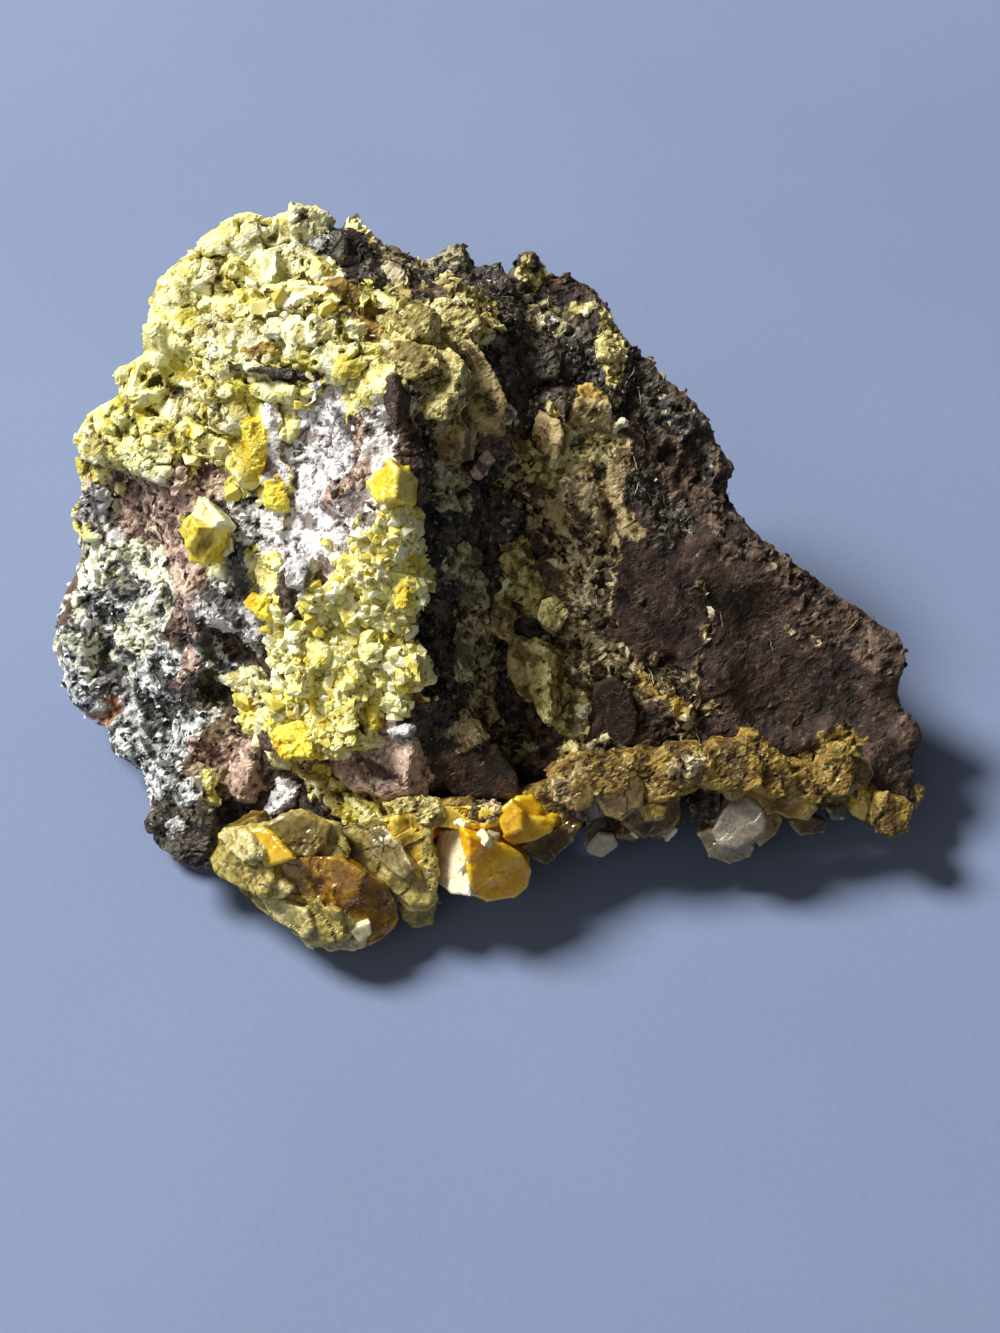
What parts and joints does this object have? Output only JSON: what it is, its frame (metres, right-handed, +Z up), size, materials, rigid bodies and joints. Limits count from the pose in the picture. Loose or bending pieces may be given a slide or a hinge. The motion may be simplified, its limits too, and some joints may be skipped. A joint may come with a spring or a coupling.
{
  "type": "pyromorphite specimen",
  "caption": "Broken lump of dark red-brown gossan with a lumpy yellow crust, a field of small yellow crystals along its sharp edge and amber crystals along its foot; rests on a flat face.",
  "frame": {"origin": "on the flat face that the lump rests on, near its middle", "axes": "+Z up, -Y towards the sharp edge between the crusted left face and the brown right face, +X along the longest extent towards the brown wing"},
  "size_m": [0.0691, 0.0501, 0.0332],
  "materials": {
    "matrix": "rough broken gossan, dark red-brown to black, matt with fine sparkle",
    "yellow_crust": "lumpy pale yellow to cream crust, matt, deeper yellow in the creases",
    "olive_crust": "lumpy olive to pale green-white crust, matt",
    "arris_druse": "small saturated yellow crystals, glossy faces",
    "corner_cluster": "amber crystals, see-through at the edges, resinous",
    "front_crystals": "golden amber crystals, see-through, resinous",
    "edge_crystals": "honey to olive crystals, cloudy, resinous",
    "end_crystal": "yellow-olive crystals, cloudy, resinous",
    "white_hex_crystal": "grey-white broken hexagonal crystal with tan sides, satin",
    "small_white_crystal": "milky white crystal, satin",
    "shoulder_crystal": "pale yellow block crystal, waxy",
    "ridge_crystal": "saturated yellow crystal, waxy",
    "valley_crystals": "tan to olive crystals, waxy"
  },
  "bodies": {
    "root": {"matrix": "matrix", "yellow_crust": "yellow_crust", "olive_crust": "olive_crust", "arris_druse": "arris_druse", "corner_cluster": "corner_cluster", "front_crystals": "front_crystals", "edge_crystals": "edge_crystals", "end_crystal": "end_crystal", "white_hex_crystal": "white_hex_crystal", "small_white_crystal": "small_white_crystal", "shoulder_crystal": "shoulder_crystal", "ridge_crystal": "ridge_crystal", "valley_crystals": "valley_crystals"}
  },
  "joints": []
}
